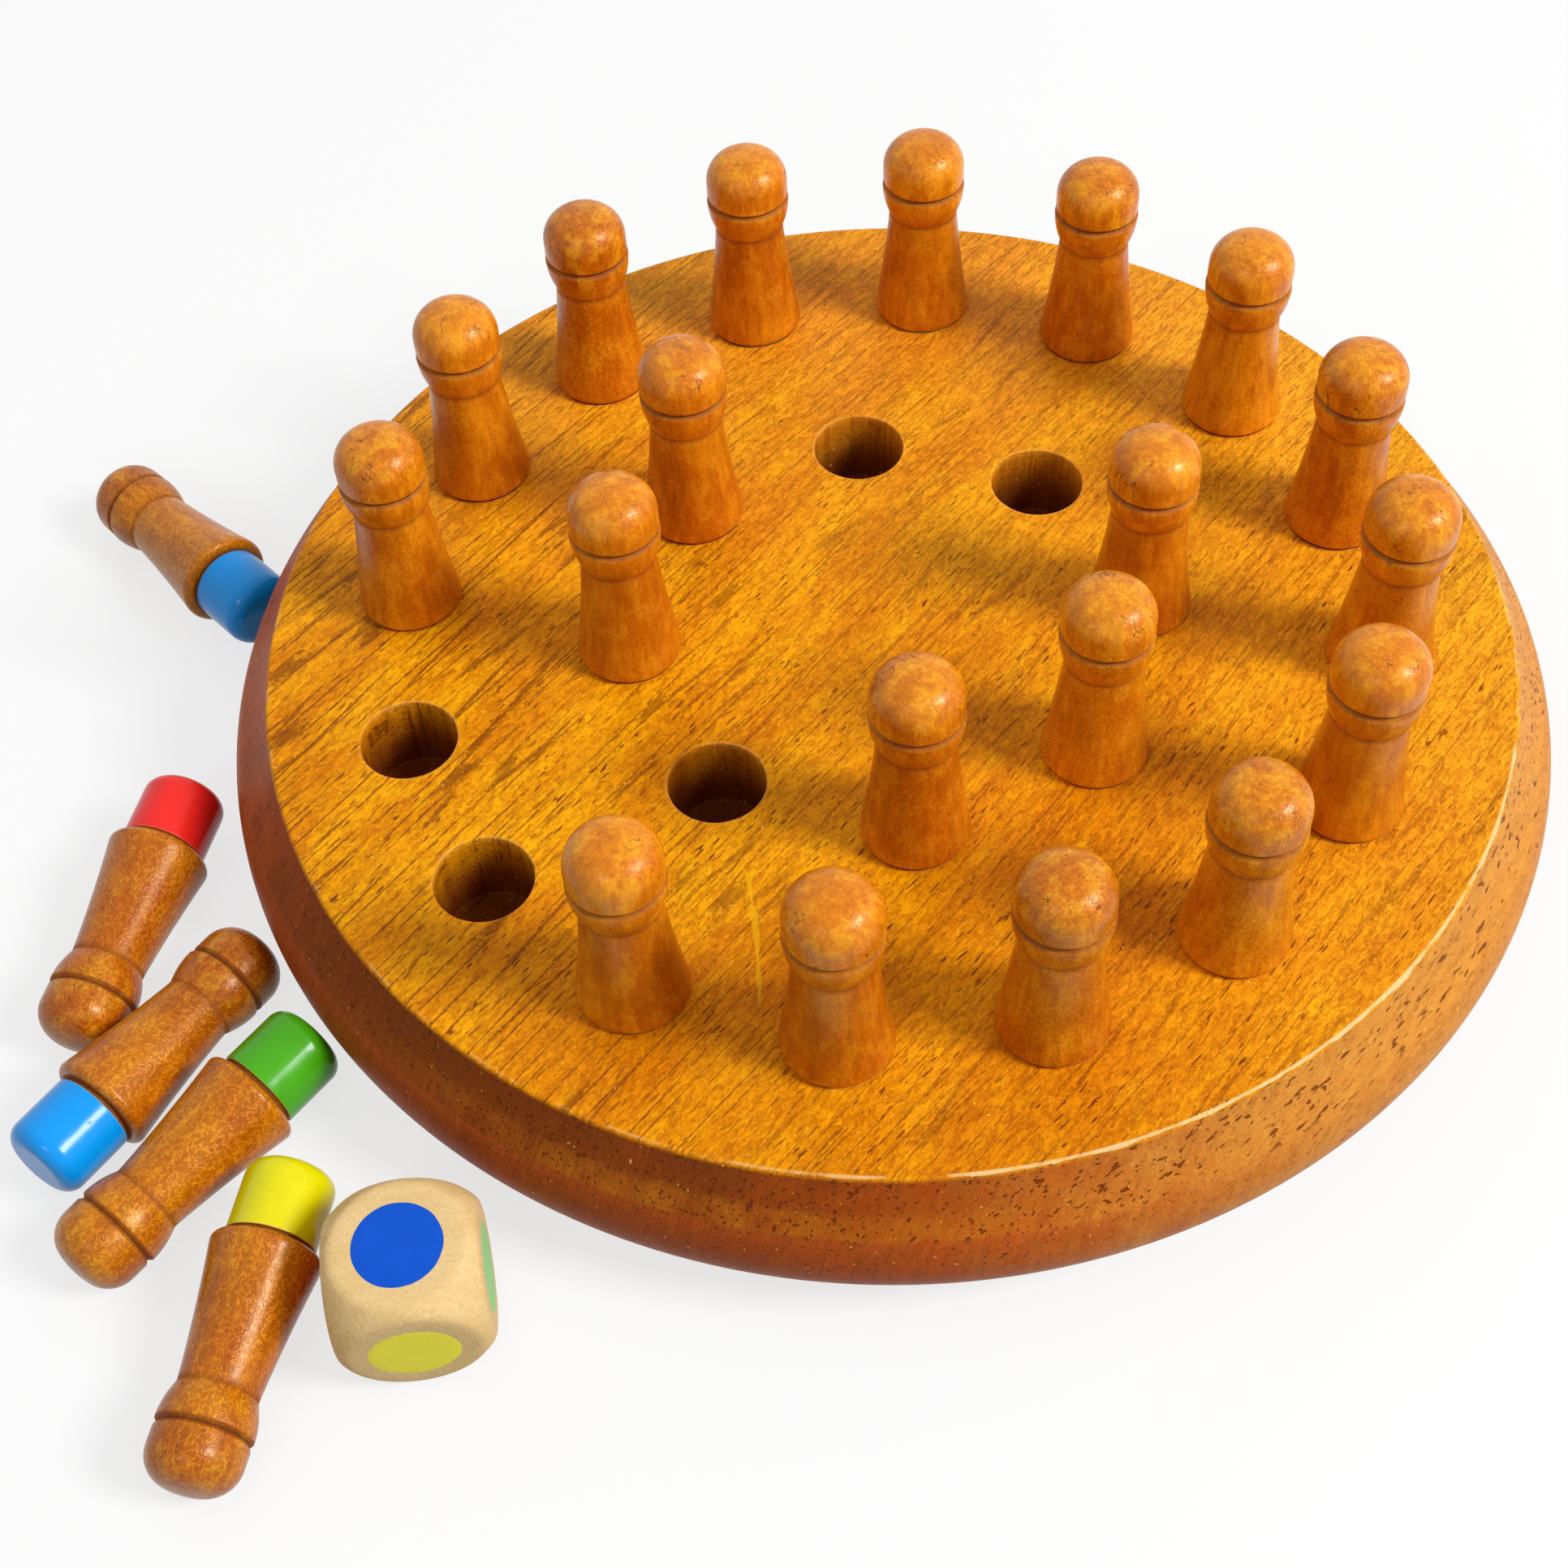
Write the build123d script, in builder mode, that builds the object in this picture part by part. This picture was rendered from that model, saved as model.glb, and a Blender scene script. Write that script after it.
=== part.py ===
from build123d import *
import math
import os

# Wooden memory game: a round hardwood board with two rings of drilled holes, turned
# pegs whose lower ends are dipped in colour and hidden in the holes, and a colour die.
# Millimetres, at real size. The origin is the centre of the board's underside, +Z up.
# The game stands as it is played: most pegs in their holes, a few laid beside the board.

# Board
board_diameter = 180
board_thickness = 24
bevel_width = 6.5
nose_radius = 7.9
rim_round = 0.3

# Rings of holes in the board
rim_margin = 24.5
ring_spacing = 31
outer_count = 16
inner_count = 8
outer_first_angle = 213.75
inner_first_angle = 225
outer_empty = (1, 2)
inner_empty = (1, 4, 5)

# Peg, from its painted end to the top of its head
tip_diameter = 11.3
tip_length = 10.3
tip_round = 2.2
relief_width = 0.6
relief_depth = 0.4
ledge_width = 0.55
shoulder_round = 1
body_height = 18.2
body_hollow = 0.17
neck_diameter = 9.75
collar_diameter = 11.8
collar_height = 4.5
groove_width = 1
groove_depth = 0.45
head_diameter = 11.6
head_side_height = 2.1
dome_height = 4.2
crown_radius = 12

# Fit of a peg in its hole
hole_clearance = 0.75
floor_clearance = 1.7

# Colour die: a cube rounded by a ball
die_side = 18.5
ball_diameter = 24.5
die_edge_round = 0.5

# Loose pieces on the table, with the way that each one points
board_gap = 0.5
peg_gap = 0.3
green_bearing = 212.2
green_heading = 46
blue_lead = 6
blue_turn = 5
yellow_heading = 73.8
yellow_gap = 1.2
yellow_setback_share = 0.45
red_heading = 71.4
red_lean_share = 0.5
spare_bearing = 159.8
spare_heading = 309
die_gap = 0.4
die_setback_share = 0.1
die_heading = 4.2

# Worked out from the sizes above
board_radius = board_diameter / 2
mid_height = board_thickness / 2
flat_radius = board_radius - bevel_width
nose_centre = board_radius - nose_radius
outer_ring_radius = board_radius - rim_margin
inner_ring_radius = outer_ring_radius - ring_spacing
tip_radius = tip_diameter / 2
hole_radius = tip_radius + hole_clearance
hole_depth = tip_length + floor_clearance
shoulder_radius = hole_radius + ledge_width
neck_radius = neck_diameter / 2
collar_radius = collar_diameter / 2
head_radius = head_diameter / 2
ball_radius = ball_diameter / 2
die_half = die_side / 2
die_face_radius = math.sqrt(ball_radius**2 - die_half**2)

# Heights on a peg, above the shoulder that rests on the board
collar_top = body_height + collar_height
groove_middle = collar_top + groove_width / 2
head_base = collar_top + groove_width
dome_base = head_base + head_side_height
peg_height = dome_base + dome_height

# The dome is two arcs that meet smoothly: a flat crown and a tighter corner,
# which also runs smoothly into the side of the head.
crown_centre = peg_height - crown_radius
crown_drop = crown_radius - dome_height
corner_radius = (crown_radius**2 - crown_drop**2 - head_radius**2) / (2 * (crown_radius - head_radius))
corner_centre = head_radius - corner_radius
corner_angle = math.degrees(math.atan2(crown_drop, corner_centre))

# A peg that lies on the table touches it with the round of its shoulder and the corner of
# its head, so its axis leans down towards the head.
shoulder_centre = shoulder_radius - shoulder_round
lying_run = dome_base - shoulder_round
lying_drop = shoulder_centre - corner_centre
lying_difference = corner_radius - shoulder_round
lying_lean = math.degrees(
    math.atan2(lying_drop, lying_run) - math.asin(lying_difference / math.hypot(lying_run, lying_drop))
)
lying_height = (
    shoulder_round * math.sin(math.radians(lying_lean))
    + shoulder_centre * math.cos(math.radians(lying_lean))
    + shoulder_round
)


def polar(distance, angle):
    """A step of this length over the table, at an angle from +X."""
    return Vector(distance, 0, 0).rotate(Axis.Z, angle)


def ring(radius, count, first_angle):
    """The mouths of evenly spaced holes, clockwise from the first angle."""
    step = 360 / count
    return [Vector(0, 0, board_thickness) + polar(radius, first_angle - step * place) for place in range(count)]


def standing(mouth):
    """The plane of a peg's half outline, with the peg upright in a hole."""
    return Plane(origin=mouth, x_dir=(1, 0, 0), z_dir=(0, -1, 0))


def lying(place, heading):
    """The plane of a peg's half outline, with the peg on the table and its painted end at the heading."""
    across = polar(1, heading + 90)
    towards_head = Vector(-1, 0, 0).rotate(Axis.Y, -lying_lean).rotate(Axis.Z, heading)
    return Plane(
        origin=place + Vector(0, 0, lying_height),
        x_dir=across,
        z_dir=across.cross(towards_head),
    )


def tip_reach(turn):
    """How far the painted end reaches past the shoulder's centre, at an angle from the peg's axis."""
    along = (tip_length - tip_round) * math.cos(math.radians(turn))
    across = (tip_radius - tip_round) * math.sin(math.radians(turn))
    return along + across + tip_round


def die_reach(turn):
    """How far the die reaches from its middle, at an angle from one of its upright faces."""
    return die_half * math.cos(math.radians(turn)) + die_face_radius * math.sin(math.radians(turn))


def turned_peg(plane):
    """A peg turned from one dowel: x on the plane is the radius, and y runs from the shoulder to the head."""
    with BuildPart() as peg:
        with BuildSketch(plane):
            with BuildLine():
                tip_end = Line((0, -tip_length), (tip_radius - tip_round, -tip_length))
                tip_corner = JernArc(tip_end @ 1, (1, 0), tip_round, 90)
                root = Polyline(
                    tip_corner @ 1,
                    (tip_radius, -relief_width),
                    (tip_radius - relief_depth, -relief_width),
                    (tip_radius - relief_depth, 0),
                    (shoulder_centre, 0),
                )
                shoulder = JernArc(root @ 1, (1, 0), shoulder_round, 90)
                body = SagittaArc(shoulder @ 1, (neck_radius, body_height), body_hollow)
                collar = TangentArc((collar_radius, collar_top), body @ 1, tangent=(0, -1))
                Polyline(
                    collar @ 0,
                    (head_radius - groove_depth, groove_middle),
                    (head_radius, head_base),
                    (head_radius, dome_base),
                )
                CenterArc((corner_centre, dome_base), corner_radius, 0, corner_angle)
                crown = CenterArc((0, crown_centre), crown_radius, corner_angle, 90 - corner_angle)
                Line(crown @ 1, tip_end @ 0)
            make_face()
        revolve(axis=Axis(plane.origin, plane.y_dir))
    return peg


def save(piece, name):
    """Label a finished piece and write it as its own file."""
    piece.part.label = name
    export_step(piece.part, f"parts/{name}.step")


os.makedirs("parts", exist_ok=True)

outer_mouths = ring(outer_ring_radius, outer_count, outer_first_angle)
inner_mouths = ring(inner_ring_radius, inner_count, inner_first_angle)

# Board: the same bevel above and below, each tangent to a round nose at half height
nose_rise = flat_radius - nose_centre
bevel_angle = math.degrees(
    math.atan2(mid_height, nose_rise) - math.acos(nose_radius / math.hypot(mid_height, nose_rise))
)
with BuildPart() as board:
    with BuildSketch(Plane.XZ):
        with BuildLine():
            nose = CenterArc((nose_centre, mid_height), nose_radius, -bevel_angle, 2 * bevel_angle)
            Polyline(
                nose @ 1,
                (flat_radius, board_thickness),
                (0, board_thickness),
                (0, 0),
                (flat_radius, 0),
                nose @ 0,
            )
        make_face()
    revolve(axis=Axis.Z)
    fillet(board.faces().filter_by(Axis.Z).edges(), rim_round)
    with Locations(*outer_mouths, *inner_mouths):
        Hole(hole_radius, depth=hole_depth)
save(board, "board")

# Pegs in their holes, numbered by hole
for ring_name, mouths, empty in (
    ("outer", outer_mouths, outer_empty),
    ("inner", inner_mouths, inner_empty),
):
    for number, mouth in enumerate(mouths, start=1):
        if number not in empty:
            save(turned_peg(standing(mouth)), f"{ring_name}_peg_{number:02d}")

# Pegs on the table: green points at the board, blue lies beside it head to tail and a
# little askew, yellow's painted end is at green's body, and red's head is at blue's body.
green_place = polar(board_radius + board_gap + tip_reach(green_heading - green_bearing + 180), green_bearing)
green_side = green_heading + 90
blue_lie = green_heading + blue_turn
blue_place = (
    green_place
    + polar(tip_length + blue_lead - peg_height, green_heading)
    + polar(2 * shoulder_radius + peg_gap, green_side)
)
yellow_place = (
    green_place
    - polar(yellow_setback_share * peg_height, green_heading)
    - polar(shoulder_radius + yellow_gap + tip_reach(green_side - yellow_heading), green_side)
)
blue_radius_there = shoulder_radius - (shoulder_radius - neck_radius) * red_lean_share
red_head_place = (
    blue_place
    + polar(red_lean_share * body_height, blue_lie)
    + polar(blue_radius_there + peg_gap + head_radius, blue_lie + 90)
)
red_place = red_head_place + polar(dome_base, red_heading)
spare_turn = spare_heading - spare_bearing - 180
spare_place = polar(board_radius + board_gap + tip_reach(abs(spare_turn)), spare_bearing)
loose_pegs = {
    "green": (green_place, green_heading),
    "blue": (blue_place, blue_lie + 180),
    "yellow": (yellow_place, yellow_heading),
    "red": (red_place, red_heading),
    "spare_blue": (spare_place, spare_heading),
}
for colour, (place, heading) in loose_pegs.items():
    save(turned_peg(lying(place, heading)), f"{colour}_peg")

# Colour die, beside the yellow peg
die_reach_there = die_reach(die_heading + 90 - yellow_heading)
die_place = (
    yellow_place
    - polar(die_setback_share * die_side, yellow_heading)
    - polar(shoulder_radius + die_gap + die_reach_there, yellow_heading + 90)
)
die_plane = Plane(origin=die_place + Vector(0, 0, die_half), x_dir=polar(1, die_heading), z_dir=(0, 0, 1))
with BuildPart(die_plane) as colour_die:
    Box(die_side, die_side, die_side)
    Sphere(ball_radius, mode=Mode.INTERSECT)
    fillet(colour_die.faces().filter_by(GeomType.PLANE).edges(), die_edge_round)
save(colour_die, "colour_die")
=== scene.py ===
import math

import bpy
import numpy as np
from mathutils import Matrix, Vector


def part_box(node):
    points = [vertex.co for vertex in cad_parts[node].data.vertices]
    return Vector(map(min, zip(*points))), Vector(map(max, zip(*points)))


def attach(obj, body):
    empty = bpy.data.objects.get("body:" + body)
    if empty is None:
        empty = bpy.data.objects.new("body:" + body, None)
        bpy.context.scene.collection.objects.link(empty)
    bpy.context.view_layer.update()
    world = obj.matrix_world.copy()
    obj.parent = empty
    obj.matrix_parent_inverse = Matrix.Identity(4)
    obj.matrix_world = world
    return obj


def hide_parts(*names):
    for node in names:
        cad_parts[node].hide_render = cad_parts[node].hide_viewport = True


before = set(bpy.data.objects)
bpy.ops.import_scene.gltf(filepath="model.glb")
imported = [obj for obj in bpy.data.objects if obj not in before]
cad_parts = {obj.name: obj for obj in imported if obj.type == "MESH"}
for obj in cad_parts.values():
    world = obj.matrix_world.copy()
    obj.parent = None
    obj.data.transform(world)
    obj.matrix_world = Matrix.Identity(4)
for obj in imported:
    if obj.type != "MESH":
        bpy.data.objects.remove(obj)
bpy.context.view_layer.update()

# A wooden memory game: a round board with two rings of holes, turned pegs with painted
# ends, and a colour die. Metres and degrees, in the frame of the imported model.
mm = 0.001
seed = 11

# Board, with the sizes that the frame doesn't give as a box
board_low, board_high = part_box("board")
board_radius = (board_high.x - board_low.x) / 2
board_top = board_high.z
bevel_width = 6.5 * mm
nose_radius = 7.9 * mm
rim_round = 0.3 * mm
bevel_hollow = 0.35 * mm
mouth_round = 0.25 * mm
mouth_chipping = 0.05 * mm
floor_corner = 0.4 * mm
guard_width = 0.15 * mm
drill_mark_radius = 0.9 * mm
drill_mark_depth = 0.7 * mm
grain_angle = 47

# Stain, wear and painted light on the board: the half of its side that is painted paler as painted light,
# the heights where the stain and a painted band of light change there, the most worn stretch of its rim, and
# one scratch
lit_side_angle = -18
nose_line = 17 * mm
band_top = 19 * mm
rim_wear_angle = -52
scratch_x = -21.2 * mm
scratch_y = -49 * mm
scratch_half = 10.5 * mm
scratch_bend = -4

# Rings of holes
outer_ring_radius = 65.5 * mm
inner_ring_radius = 34.5 * mm
between_rings = (outer_ring_radius + inner_ring_radius) / 2
centre_disc_radius = 19 * mm
holes_end = 75 * mm
outer_count = 16
inner_count = 8
first_cell_edge = 22.5

# Peg, from its painted end to the top of its head
tip_radius = 5.65 * mm
tip_length = 10.3 * mm
tip_round = 2.2 * mm
relief_width = 0.6 * mm
relief_depth = 0.4 * mm
shoulder_radius = 6.95 * mm
shoulder_round = 1 * mm
body_height = 18.2 * mm
body_hollow = 0.17 * mm
neck_radius = 4.875 * mm
collar_radius = 5.9 * mm
collar_height = 4.5 * mm
groove_width = 1 * mm
groove_depth = 0.45 * mm
head_radius = 5.8 * mm
head_side_height = 2.1 * mm
dome_height = 4.2 * mm
crown_radius = 12 * mm
groove_middle = body_height + collar_height + groove_width / 2
edge_wear = 0.22 * mm
lying_lean = 2.65

# Shade painted into a peg's cut groove and neck crease, and how lively the figure of its wood is in its hole
# and on the table
groove_shade = 0.65
groove_spread = 0.45 * groove_width
neck_shade = 0.3
neck_spread = 0.4 * mm
seated_figure = (0.1, 0.6)
loose_figure = (0.8, 1.1)

# Fit of a peg in its hole
hole_radius = tip_radius + 0.75 * mm
hole_depth = tip_length + 1.7 * mm

# Paint on the pegs and on the die
paint_thickness = 0.2 * mm
paint_bite = 0.1 * mm
dip_waviness = 0.06 * mm
dot_radius = 5.35 * mm
dot_rise = 0.03 * mm
dot_bite = 0.05 * mm
dot_unevenness = 0.012

# Die: a cube rounded by a ball
die_side = 18.5 * mm
die_ball_radius = 12.25 * mm
die_heading = 4.2
die_sharpness = 52

# The colours hidden under the seated pegs, given out again and again in this order, the way that each
# loose peg's painted end points, and the side of the die that each spot is on
seated_colours = "orange red purple yellow green orange purple red green yellow".split()
loose_headings = {
    "green_peg": 46,
    "blue_peg": 231,
    "yellow_peg": 73.8,
    "red_peg": 71.4,
    "spare_blue_peg": 309,
}
die_colours = {
    "blue": (0, 0, 1),
    "yellow": (0, -1, 0),
    "green": (1, 0, 0),
    "red": (-1, 0, 0),
    "orange": (0, 1, 0),
    "purple": (0, 0, -1),
}

# Paints, as seen on a screen from 0 to 255, and the paler tint at the lip of the film
enamel_tints = {
    "red": ((250, 40, 34), (252, 150, 110)),
    "blue": ((0, 158, 250), (190, 205, 160)),
    "green": ((76, 176, 16), (215, 215, 90)),
    "yellow": ((236, 228, 6), (245, 235, 140)),
    "orange": ((242, 120, 14), (250, 190, 110)),
    "purple": ((108, 50, 156), (190, 160, 210)),
}
dot_tints = {
    "blue": (2, 84, 206),
    "yellow": (253, 244, 60),
    "green": (150, 214, 130),
    "red": (216, 44, 44),
    "orange": (236, 134, 44),
    "purple": (120, 70, 160),
}

# Camera, as the photograph was taken
camera_place = Vector((-22.07, -202.92, 253.49)) * mm
camera_target = Vector((-15.85, -25.67, 24)) * mm
camera_roll = -3.495
focal_length_pixels = 2787
image_pixels = 1932
sensor_width = 36
nearest_seen = 0.01

# Light
key_azimuth = -24
key_elevation = 42
lamp_distance = 1.4
key_size = 0.4
key_power = 16.2
fill_azimuth = 238
fill_elevation = 42
fill_size = 0.3
fill_power = 1.5
world_strength = 0.44
world_slope = 0.5
floor_glow = 0.73
glow_starts = 0.3
glow_full = 2.5
glow_rise = 0.15
floor_rings = (0.001, 0.3, 1, 6)

# How finely the surfaces are cut
weld_distance = 1e-6
steps_in_wear = 8
hollow_reach = 6
row_length = 0.9 * mm
cell_arc_steps = 16
cell_side_steps = 20
cell_shares = (0, 0.14, 0.28, 0.42, 0.56, 0.68, 0.79, 0.88, 0.95, 1)
mouth_rows = 5
chip_reach = 6
wall_rows = 3
wall_end = 1.2 * mm
floor_corner_rows = 4
disc_rows = 6
underside_rings = (0, 25, 50, 70, 80)
nose_rows = 40
bevel_rows = 18
corner_rows = 6
taper_rows = 80
peg_columns = 64
peg_row_turn = 9
film_row_turn = 12
film_wear = paint_thickness / 4
lip_rows = 9
die_rows = 65
dot_columns = 96
dot_back_shares = (0, 0.5, 1)
dot_front_shares = (0, 0.35, 0.7, 0.9, 0.97, 0.992, 1)
floor_columns = 96


def linear(red, green, blue):
    """A colour as seen on a screen, 0 to 255, turned to the linear values that a shader takes."""
    seen = np.array((red, green, blue)) / 255
    light = np.where(seen <= 0.04045, seen / 12.92, ((seen + 0.055) / 1.055) ** 2.4)
    return (*light.tolist(), 1)


# The top of the board: its wood, its clouds, a paler amber towards the back that is painted light, and its
# tone towards the front and the right
amber = linear(222, 136, 2)
light_amber = linear(244, 168, 6)
brown_amber = linear(208, 106, 4)
golden_amber = linear(252, 186, 10)
lit_back_amber = linear(240, 158, 44)
front_amber = linear(206, 108, 6)
right_amber = linear(246, 176, 40)
chip_shadow = (0.72, 0.56, 0.42, 1)
chip_light = (1.3, 1.34, 1.3, 1)

# The side of the board with its stain and painted light, the painted shade in its holes, and the marks of
# drilling, age and wear, whose pale specks are partly painted glints
side_stain = linear(184, 82, 18)
lit_side_stain = linear(218, 148, 60)
deep_stain = linear(116, 56, 14)
nose_stain = linear(174, 80, 32)
lit_band_amber = linear(212, 126, 26)
hole_shade_brown = linear(106, 42, 12)
pore_brown = linear(108, 40, 2)
speck_and_glint_yellow = linear(252, 214, 96)
worn_rim = linear(248, 204, 138)
worn_mouth = linear(238, 176, 84)
scratch_yellow = linear(252, 190, 14)

# The pegs
peg_brown = linear(206, 110, 6)
peg_amber = linear(234, 146, 16)
peg_gold = linear(242, 168, 34)
peg_shade = linear(178, 92, 12)
figure_brown = linear(150, 64, 2)
shaded_body_brown = linear(152, 74, 2)
lit_head_amber = linear(248, 152, 26)
crack_brown = linear(84, 36, 8)
hollow_shade_brown = linear(120, 54, 8)
groove_shade_brown = linear(66, 24, 4)
speckle_shadow = (0.66, 0.5, 0.3, 1)
speckle_light = (1.34, 1.46, 1.4, 1)

# The bare wood of the die, and the floor
bare_wood = linear(234, 198, 134)
bare_pale = linear(240, 206, 146)
bare_fibre = linear(168, 124, 70)
paper_grey = linear(134, 134, 133)
paper_pale = linear(139, 139, 139)
white = (1, 1, 1, 1)


# Meshes


def ring_quads(rows, columns):
    """Quads of a grid whose columns close on themselves. They face out when the rows run up the outside."""
    row = np.arange(rows - 1)[:, None] * columns
    column = np.arange(columns)
    following = (column + 1) % columns
    corners = (row + column, row + following, row + columns + following, row + columns + column)
    return np.stack(corners, axis=-1).reshape(-1, 4)


def weld(points, quads):
    """Points in one place become one, and a quad with two corners in one place becomes a triangle."""
    keys = np.round(points / weld_distance).astype(np.int64)
    _, kept, place = np.unique(keys, axis=0, return_index=True, return_inverse=True)
    quads = place.reshape(-1)[quads]
    repeated = quads == np.roll(quads, -1, axis=1)
    whole = quads[repeated.sum(axis=1) == 0]
    pinched = repeated.sum(axis=1) == 1
    triangles = quads[pinched][~repeated[pinched]].reshape(-1, 3)
    return kept, whole.tolist() + triangles.tolist()


def make_piece(name, points, quads, material, layers=None):
    """A smooth closed mesh of welded points, with values or vectors per point as attributes."""
    kept, faces = weld(points, quads)
    mesh = bpy.data.meshes.new(name)
    mesh.from_pydata(points[kept].tolist(), [], faces)
    mesh.shade_smooth()
    for layer, values in (layers or {}).items():
        kind, key = ("FLOAT", "value") if values.ndim == 1 else ("FLOAT_VECTOR", "vector")
        attribute = mesh.attributes.new(layer, kind, "POINT")
        attribute.data.foreach_set(key, values[kept].astype(np.float32).ravel())
    mesh.materials.append(material)
    piece = bpy.data.objects.new(name, mesh)
    bpy.context.collection.objects.link(piece)
    return piece


def line(start, end, count=40):
    """Points on a straight line."""
    return np.linspace(start, end, count)


def arc(centre, radius, start, end, count=60):
    """Points on a circle, from one angle to another."""
    turn = np.radians(np.linspace(start, end, count))
    return np.column_stack((centre[0] + radius * np.cos(turn), centre[1] + radius * np.sin(turn)))


def even_steps(outline, step):
    """The outline walked again at even steps."""
    lengths = np.hypot(*np.diff(outline, axis=0).T)
    moving = np.concatenate(([True], lengths > 0))
    outline = outline[moving]
    walked = np.concatenate(([0], np.cumsum(lengths[lengths > 0])))
    marks = np.linspace(0, walked[-1], int(walked[-1] / step) + 1)
    return np.column_stack([np.interp(marks, walked, side) for side in outline.T])


def softened(outline, width, step):
    """Each point averaged with those within the width. Both ends are mirrored over the axis."""
    reach = max(1, int(width / step))
    weights = np.hanning(2 * reach + 3)[1:-1]
    weights /= weights.sum()
    mirror = np.array((-1, 1))
    before = outline[reach:0:-1] * mirror
    after = outline[-2 : -reach - 2 : -1] * mirror
    long = np.vstack((before, outline, after))
    return np.column_stack([np.convolve(side, weights, mode="valid") for side in long.T])


def worn_rows(outline, wear, row_turn):
    """The outline with its corners worn round, as rows that stand closer where it turns.

    With it comes how hollow each row is: how far a wide average of the outline lies outside it, which is
    above zero in a groove and below it on an edge.
    """
    step = wear / steps_in_wear
    fine = softened(even_steps(outline, step), wear, step)
    wide = softened(fine, hollow_reach * wear, step)
    outward = np.gradient(fine, axis=0)[:, ::-1] * np.array((1, -1))
    outward /= np.maximum(np.hypot(*outward.T), 1e-12)[:, None]
    hollow = ((wide - fine) * outward).sum(axis=1) / wear
    heading = np.unwrap(np.arctan2(*np.gradient(fine, axis=0).T))
    pace = step / row_length + np.abs(np.gradient(heading)) / math.radians(row_turn)
    passed = np.cumsum(pace) - pace[0]
    marks = np.linspace(0, passed[-1], int(passed[-1]) + 1)
    rows = np.column_stack([np.interp(marks, passed, side) for side in fine.T])
    rows[0, 0] = 0
    rows[-1, 0] = 0
    return rows, np.interp(marks, passed, hollow)


def revolved(rows, columns):
    """The rows carried once round the Z axis: radius times the cosine and sine of the angle, and height."""
    angle = np.linspace(0, 2 * math.pi, columns, endpoint=False)
    radius, height = rows[:, :1], rows[:, 1:]
    grid = np.stack((radius * np.cos(angle), radius * np.sin(angle), height + 0 * angle), axis=-1)
    return grid.reshape(-1, 3), ring_quads(len(rows), columns)


def wave(angle, rng, lowest=2, highest=9):
    """An uneven ring: a sum of cosines with seeded phases, weaker as they get finer, from about -1 to 1."""
    counts = np.arange(lowest, highest + 1)[:, None]
    phases = rng.uniform(0, 2 * math.pi, counts.shape)
    strengths = rng.uniform(0.4, 1, counts.shape) / np.sqrt(counts)
    return (strengths * np.cos(counts * angle + phases)).sum(axis=0) / strengths.sum()


# Board


def cell_border(inner, outer, first, last, outer_steps, inner_steps):
    """A walk at even steps round a sector of a ring: its outer arc, in, back on its inner arc, and out."""
    angles = [
        np.linspace(first, last, outer_steps, endpoint=False),
        np.full(cell_side_steps, float(last)),
        np.linspace(last, first, inner_steps, endpoint=False),
        np.full(cell_side_steps, float(first)),
    ]
    radii = [
        np.full(outer_steps, outer),
        np.linspace(outer, inner, cell_side_steps, endpoint=False),
        np.full(inner_steps, inner),
        np.linspace(inner, outer, cell_side_steps, endpoint=False),
    ]
    angle = np.radians(np.concatenate(angles))
    radius = np.concatenate(radii)
    return np.column_stack((radius * np.cos(angle), radius * np.sin(angle)))


def drilled_cell(centre, border, rng):
    """One sector of the board's top with its hole.

    Every point of the border is joined to the hole's mouth by a straight line towards the hole's centre. It
    runs on over the rounded mouth, down the wall and over the floor to the drill mark.
    """
    out = border - centre
    distance = np.hypot(*out.T)
    direction = out / distance[:, None]
    angle = np.arctan2(out[:, 1], out[:, 0])
    chipped = 1 + mouth_chipping / hole_radius * wave(angle, rng)
    guard = hole_radius + mouth_round + guard_width
    shares = np.array(cell_shares)[:, None]
    top_radius = distance * (1 - shares) + guard * shares
    top_height = np.full_like(top_radius, board_top)
    floor = board_top - hole_depth
    mouth = arc((hole_radius + mouth_round, board_top - mouth_round), mouth_round, 90, 180, mouth_rows)
    corner_centre = (hole_radius - floor_corner, floor + floor_corner)
    corner = arc(corner_centre, floor_corner, 0, -90, floor_corner_rows)
    profile = np.vstack(
        (
            mouth,
            line((hole_radius, board_top - wall_end), (hole_radius, floor + wall_end), wall_rows),
            corner,
            ((drill_mark_radius * 3, floor), (drill_mark_radius, floor), (0, floor - drill_mark_depth)),
        )
    )
    mouth_share = np.clip((profile[:, 1:] - board_top) / mouth_round / chip_reach + 1, 0, 1)
    hole_radii = profile[:, :1] * (1 + (chipped - 1) * mouth_share)
    hole_heights = profile[:, 1:] + 0 * distance
    radius = np.vstack((top_radius, hole_radii))
    height = np.vstack((top_height, hole_heights))
    flat = centre + radius[..., None] * direction
    grid = np.concatenate((flat, height[..., None]), axis=-1)
    edge = np.zeros_like(radius)
    edge[len(shares) : len(shares) + len(mouth)] = 1
    return grid.reshape(-1, 3), ring_quads(len(radius), len(border)), edge.ravel()


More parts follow.
